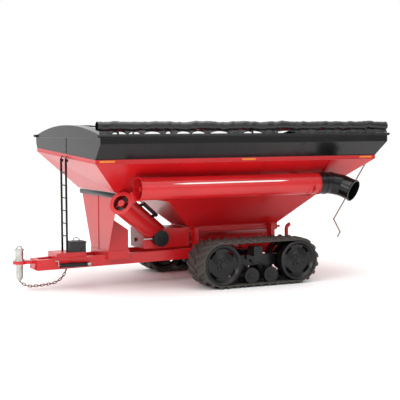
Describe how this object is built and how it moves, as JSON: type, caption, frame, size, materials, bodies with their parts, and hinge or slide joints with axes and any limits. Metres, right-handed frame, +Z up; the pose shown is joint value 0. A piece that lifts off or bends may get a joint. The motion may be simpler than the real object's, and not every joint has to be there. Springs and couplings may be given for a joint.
{
  "type": "grain cart",
  "caption": "Grain cart on rubber tracks: red steel hopper with black extension, folding corner auger with spout, rolled tarp, ladder, tongue and hitch pin.",
  "frame": {"origin": "centre of the bounding box on the ground", "axes": "+X towards the rear, -X towards the hitch, -Y is the auger side, +Z up"},
  "size_m": [8.6528, 4.6512, 3.7886],
  "materials": {
    "red_paint": "gloss",
    "black_paint": "gloss",
    "bright_steel": "satin",
    "rubber": "matte",
    "tarp_vinyl": "satin",
    "amber_lens": "gloss",
    "grey_plastic": "satin",
    "chain_steel": "aged"
  },
  "bodies": {
    "cart": {"hopper_near_side": "red_paint", "hopper_far_side": "red_paint", "hopper_front": "red_paint", "hopper_rear": "red_paint", "extension_near": "black_paint", "extension_far": "black_paint", "extension_front": "black_paint", "extension_rear": "black_paint", "end_caps": "black_paint", "tarp_bows": "black_paint", "tarp_roll": "tarp_vinyl", "auger_trough": "red_paint", "auger_boot": "red_paint", "lower_tube": "red_paint", "hinge_pin": "bright_steel", "fold_cylinder": "black_paint", "auger_rest": "red_paint", "gearbox": "black_paint", "tongue_rails": "red_paint", "crossmembers": "red_paint", "bulkhead": "red_paint", "axle_tube": "red_paint", "hopper_legs": "red_paint", "deck": "red_paint", "ladder": "black_paint", "tool_box": "grey_plastic", "hitch_plate": "red_paint", "hitch_pin": "bright_steel", "safety_chain": "chain_steel", "reflectors": "amber_lens", "light_bar": "black_paint"},
    "folding_tube": {"upper_tube": "red_paint"},
    "discharge_spout": {"spout": "black_paint"},
    "upper_auger": {"upper_auger_shaft": "red_paint", "upper_auger_flight": "bright_steel"},
    "lower_auger": {"lower_auger_shaft": "red_paint", "lower_auger_flight": "bright_steel"},
    "floor_auger": {"floor_auger_shaft": "bright_steel", "floor_auger_flight": "bright_steel"},
    "input_drive": {"input_shaft": "bright_steel"},
    "cylinder_rod": {"fold_rod": "bright_steel"},
    "gate": {"flow_gate": "bright_steel"},
    "door": {"cleanout_door": "red_paint"},
    "lid": {"tool_box_lid": "grey_plastic"},
    "jack": {"jack_tube": "black_paint"},
    "jack_inner": {"jack_leg": "bright_steel"},
    "jack_handle": {"jack_crank": "bright_steel"},
    "roll_crank": {"tarp_crank": "bright_steel"},
    "near_track": {"near_track_frame": "black_paint", "near_belt": "rubber"},
    "far_track": {"far_track_frame": "black_paint", "far_belt": "rubber"},
    "near_front_wheel": {"near_front_wheel": "black_paint"},
    "near_front_roller": {"near_front_roller": "rubber"},
    "near_rear_wheel": {"near_rear_wheel": "black_paint"},
    "near_rear_roller": {"near_rear_roller": "rubber"},
    "far_front_wheel": {"far_front_wheel": "black_paint"},
    "far_front_roller": {"far_front_roller": "rubber"},
    "far_rear_wheel": {"far_rear_wheel": "black_paint"},
    "far_rear_roller": {"far_rear_roller": "rubber"}
  },
  "joints": [
    {"name": "auger_fold", "type": "hinge", "parent": "cart", "child": "folding_tube", "pos_m": [-2.0125, -1.5567, 2.12611], "axis": [0, -0.5903, -0.8072], "range_deg": [0, 133.28]},
    {"name": "spout_swivel", "type": "hinge", "parent": "folding_tube", "child": "discharge_spout", "pos_m": [2.6475, -1.815, 2.315], "axis": [1, 0, 0], "range_deg": [-30, 30]},
    {"name": "upper_auger_spin", "type": "hinge", "parent": "folding_tube", "child": "upper_auger", "pos_m": [-0.0125, -1.815, 2.315], "axis": [1, 0, 0], "continuous": true},
    {"name": "floor_auger_spin", "type": "hinge", "parent": "cart", "child": "floor_auger", "pos_m": [0.9575, 0, 1.01], "axis": [1, 0, 0], "continuous": true},
    {"name": "lower_auger_spin", "type": "hinge", "parent": "cart", "child": "lower_auger", "pos_m": [-2.24546, -1.37961, 1.99661], "axis": [-0.6856, -0.5876, 0.4297], "continuous": true},
    {"name": "input_spin", "type": "hinge", "parent": "cart", "child": "input_drive", "pos_m": [-1.2425, -0.59, 1.075], "axis": [1, 0, 0], "continuous": true},
    {"name": "cylinder_stroke", "type": "slide", "parent": "cart", "child": "cylinder_rod", "axis": [0.6856, 0.5876, -0.4297], "range_m": [0, 0.12]},
    {"name": "gate_slide", "type": "slide", "parent": "cart", "child": "gate", "axis": [0, 1, 0], "range_m": [0, 0.6]},
    {"name": "door_swing", "type": "hinge", "parent": "cart", "child": "door", "pos_m": [-0.7425, -0.166, 0.8337], "axis": [1, 0, 0], "range_deg": [-90, 0]},
    {"name": "lid_swing", "type": "hinge", "parent": "cart", "child": "lid", "pos_m": [-2.6745, -0.14, 1.0323], "axis": [0, 1, 0], "range_deg": [0, 100]},
    {"name": "jack_swivel", "type": "hinge", "parent": "cart", "child": "jack", "pos_m": [-3.0525, -0.5, 0.575], "axis": [0, 1, 0], "range_deg": [0, 90]},
    {"name": "jack_extend", "type": "slide", "parent": "jack", "child": "jack_inner", "axis": [1, 0, 0], "range_m": [0, 0.18]},
    {"name": "jack_crank_spin", "type": "hinge", "parent": "jack", "child": "jack_handle", "pos_m": [-3.3875, -0.5, 0.575], "axis": [1, 0, 0], "continuous": true},
    {"name": "crank_swing", "type": "hinge", "parent": "cart", "child": "roll_crank", "pos_m": [4.2828, -2.15, 3.67883], "axis": [1, 0, 0], "range_deg": [-42, 0]},
    {"name": "near_track_pivot", "type": "hinge", "parent": "cart", "child": "near_track", "pos_m": [0.9575, -1.605, 0.62], "axis": [0, 1, 0], "range_deg": [-6, 6]},
    {"name": "near_front_wheel_spin", "type": "hinge", "parent": "near_track", "child": "near_front_wheel", "pos_m": [-0.0275, -1.605, 0.545], "axis": [0, 1, 0], "continuous": true},
    {"name": "near_front_roller_spin", "type": "hinge", "parent": "near_track", "child": "near_front_roller", "pos_m": [0.7075, -1.605, 0.2603], "axis": [0, 1, 0], "continuous": true},
    {"name": "near_rear_wheel_spin", "type": "hinge", "parent": "near_track", "child": "near_rear_wheel", "pos_m": [1.9425, -1.605, 0.545], "axis": [0, 1, 0], "continuous": true},
    {"name": "near_rear_roller_spin", "type": "hinge", "parent": "near_track", "child": "near_rear_roller", "pos_m": [1.2075, -1.605, 0.2603], "axis": [0, 1, 0], "continuous": true},
    {"name": "far_track_pivot", "type": "hinge", "parent": "cart", "child": "far_track", "pos_m": [0.9575, 1.605, 0.62], "axis": [0, 1, 0], "range_deg": [-6, 6]},
    {"name": "far_front_wheel_spin", "type": "hinge", "parent": "far_track", "child": "far_front_wheel", "pos_m": [-0.0275, 1.605, 0.545], "axis": [0, 1, 0], "continuous": true},
    {"name": "far_front_roller_spin", "type": "hinge", "parent": "far_track", "child": "far_front_roller", "pos_m": [0.7075, 1.605, 0.2603], "axis": [0, 1, 0], "continuous": true},
    {"name": "far_rear_wheel_spin", "type": "hinge", "parent": "far_track", "child": "far_rear_wheel", "pos_m": [1.9425, 1.605, 0.545], "axis": [0, 1, 0], "continuous": true},
    {"name": "far_rear_roller_spin", "type": "hinge", "parent": "far_track", "child": "far_rear_roller", "pos_m": [1.2075, 1.605, 0.2603], "axis": [0, 1, 0], "continuous": true}
  ],
  "couplings": [
    {"joint": "cylinder_stroke", "follows": "auger_fold", "m_per_rad": 0.051535},
    {"joint": "lower_auger_spin", "follows": "floor_auger_spin", "ratio": -1},
    {"joint": "input_spin", "follows": "floor_auger_spin", "ratio": 1},
    {"joint": "near_rear_wheel_spin", "follows": "near_front_wheel_spin", "ratio": 1},
    {"joint": "near_front_roller_spin", "follows": "near_front_wheel_spin", "ratio": 2.5783},
    {"joint": "near_rear_roller_spin", "follows": "near_front_wheel_spin", "ratio": 2.5783},
    {"joint": "far_rear_wheel_spin", "follows": "far_front_wheel_spin", "ratio": 1},
    {"joint": "far_front_roller_spin", "follows": "far_front_wheel_spin", "ratio": 2.5783},
    {"joint": "far_rear_roller_spin", "follows": "far_front_wheel_spin", "ratio": 2.5783}
  ]
}
